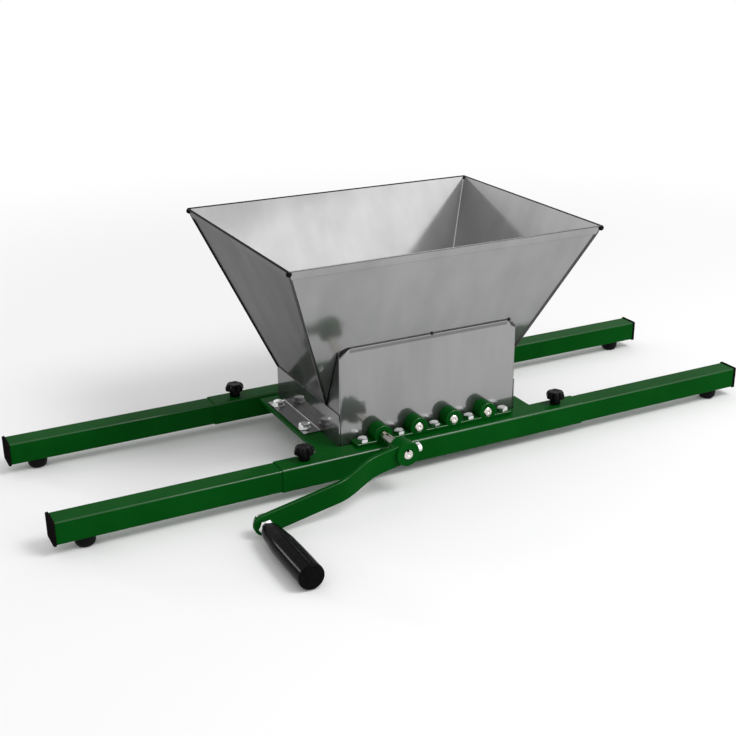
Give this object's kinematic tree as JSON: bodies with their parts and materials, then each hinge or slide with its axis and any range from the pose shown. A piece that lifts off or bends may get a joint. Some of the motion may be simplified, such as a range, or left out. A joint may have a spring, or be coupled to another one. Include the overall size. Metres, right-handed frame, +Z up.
{
  "type": "apple scratter",
  "caption": "Hand cranked fruit crusher: sheet steel hopper over geared toothed rollers, on a painted frame of extending square rails.",
  "frame": {"origin": "on the floor under the middle of the outline, crank and grip included", "axes": "+X along the rails, -Y towards the crank, +Z up"},
  "size_m": [1, 0.511, 0.298],
  "materials": {
    "green_paint": "gloss",
    "stainless_sheet": "brushed",
    "shaft_steel": "ground",
    "gear_steel": "machined",
    "zinc_plate": "zinc plated",
    "roller_metal": "as cast",
    "black_plastic": "glossy",
    "black_rubber": "matt"
  },
  "bodies": {
    "frame": {"front_sleeve": "green_paint", "back_sleeve": "green_paint", "left_crossbar": "green_paint", "right_crossbar": "green_paint", "hopper": "stainless_sheet", "front_cover": "stainless_sheet", "inner_front_plate": "stainless_sheet", "back_plate": "stainless_sheet", "left_side_panel": "stainless_sheet", "right_side_panel": "stainless_sheet", "front_bearing_strip": "green_paint", "back_bearing_strip": "green_paint", "front_strip_bolt_1": "zinc_plate", "front_strip_bolt_2": "zinc_plate", "front_strip_bolt_3": "zinc_plate", "front_strip_bolt_4": "zinc_plate", "front_strip_bolt_5": "zinc_plate", "back_strip_bolt_1": "zinc_plate", "back_strip_bolt_2": "zinc_plate", "back_strip_bolt_3": "zinc_plate", "back_strip_bolt_4": "zinc_plate", "back_strip_bolt_5": "zinc_plate", "left_flange_bolt_1": "zinc_plate", "left_flange_bolt_2": "zinc_plate", "right_flange_bolt_1": "zinc_plate", "right_flange_bolt_2": "zinc_plate"},
    "crank": {"shaft_1": "shaft_steel", "gear_1": "gear_steel", "roller_1": "roller_metal", "crank_arm": "green_paint", "crank_set_screw": "zinc_plate", "grip_pin": "zinc_plate", "grip_nut": "zinc_plate"},
    "grip": {"grip": "black_plastic"},
    "second_roller": {"shaft_2": "shaft_steel", "gear_2": "gear_steel", "roller_2": "roller_metal"},
    "third_roller": {"shaft_3": "shaft_steel", "gear_3": "gear_steel", "roller_3": "roller_metal"},
    "fourth_roller": {"shaft_4": "shaft_steel", "gear_4": "gear_steel", "roller_4": "roller_metal"},
    "front_left_extension": {"front_left_arm": "green_paint", "front_left_end_cap": "black_plastic", "front_left_foot": "black_rubber"},
    "front_right_extension": {"front_right_arm": "green_paint", "front_right_end_cap": "black_plastic", "front_right_foot": "black_rubber"},
    "back_left_extension": {"back_left_arm": "green_paint", "back_left_end_cap": "black_plastic", "back_left_foot": "black_rubber"},
    "back_right_extension": {"back_right_arm": "green_paint", "back_right_end_cap": "black_plastic", "back_right_foot": "black_rubber"},
    "front_left_clamp": {"front_left_knob": "black_plastic"},
    "front_right_clamp": {"front_right_knob": "black_plastic"},
    "back_left_clamp": {"back_left_knob": "black_plastic"},
    "back_right_clamp": {"back_right_knob": "black_plastic"}
  },
  "joints": [
    {"name": "crank_turn", "type": "hinge", "parent": "frame", "child": "crank", "pos_m": [-0.078, 0, 0.0541], "axis": [0, 1, 0], "continuous": true},
    {"name": "second_roller_turn", "type": "hinge", "parent": "frame", "child": "second_roller", "pos_m": [-0.026, 0, 0.0541], "axis": [0, 1, 0], "continuous": true},
    {"name": "third_roller_turn", "type": "hinge", "parent": "frame", "child": "third_roller", "pos_m": [0.026, 0, 0.0541], "axis": [0, 1, 0], "continuous": true},
    {"name": "fourth_roller_turn", "type": "hinge", "parent": "frame", "child": "fourth_roller", "pos_m": [0.078, 0, 0.0541], "axis": [0, 1, 0], "continuous": true},
    {"name": "grip_spin", "type": "hinge", "parent": "crank", "child": "grip", "pos_m": [-0.27554, -0.19, 0.01588], "axis": [0, -1, 0], "continuous": true},
    {"name": "front_left_slide", "type": "slide", "parent": "frame", "child": "front_left_extension", "axis": [-1, 0, 0], "range_m": [-0.145, 0.028]},
    {"name": "front_right_slide", "type": "slide", "parent": "frame", "child": "front_right_extension", "axis": [1, 0, 0], "range_m": [-0.145, 0.028]},
    {"name": "back_left_slide", "type": "slide", "parent": "frame", "child": "back_left_extension", "axis": [-1, 0, 0], "range_m": [-0.145, 0.028]},
    {"name": "back_right_slide", "type": "slide", "parent": "frame", "child": "back_right_extension", "axis": [1, 0, 0], "range_m": [-0.145, 0.028]},
    {"name": "front_left_knob_turn", "type": "hinge", "parent": "frame", "child": "front_left_clamp", "pos_m": [-0.187, -0.04125, 0.05], "axis": [0, 0, 1], "range_deg": [0, 720]},
    {"name": "front_right_knob_turn", "type": "hinge", "parent": "frame", "child": "front_right_clamp", "pos_m": [0.187, -0.04125, 0.05], "axis": [0, 0, 1], "range_deg": [0, 720]},
    {"name": "back_left_knob_turn", "type": "hinge", "parent": "frame", "child": "back_left_clamp", "pos_m": [-0.187, 0.19155, 0.05], "axis": [0, 0, 1], "range_deg": [0, 720]},
    {"name": "back_right_knob_turn", "type": "hinge", "parent": "frame", "child": "back_right_clamp", "pos_m": [0.187, 0.19155, 0.05], "axis": [0, 0, 1], "range_deg": [0, 720]}
  ],
  "couplings": [
    {"joint": "second_roller_turn", "follows": "crank_turn", "ratio": -1},
    {"joint": "third_roller_turn", "follows": "crank_turn", "ratio": 1},
    {"joint": "fourth_roller_turn", "follows": "crank_turn", "ratio": -1}
  ]
}
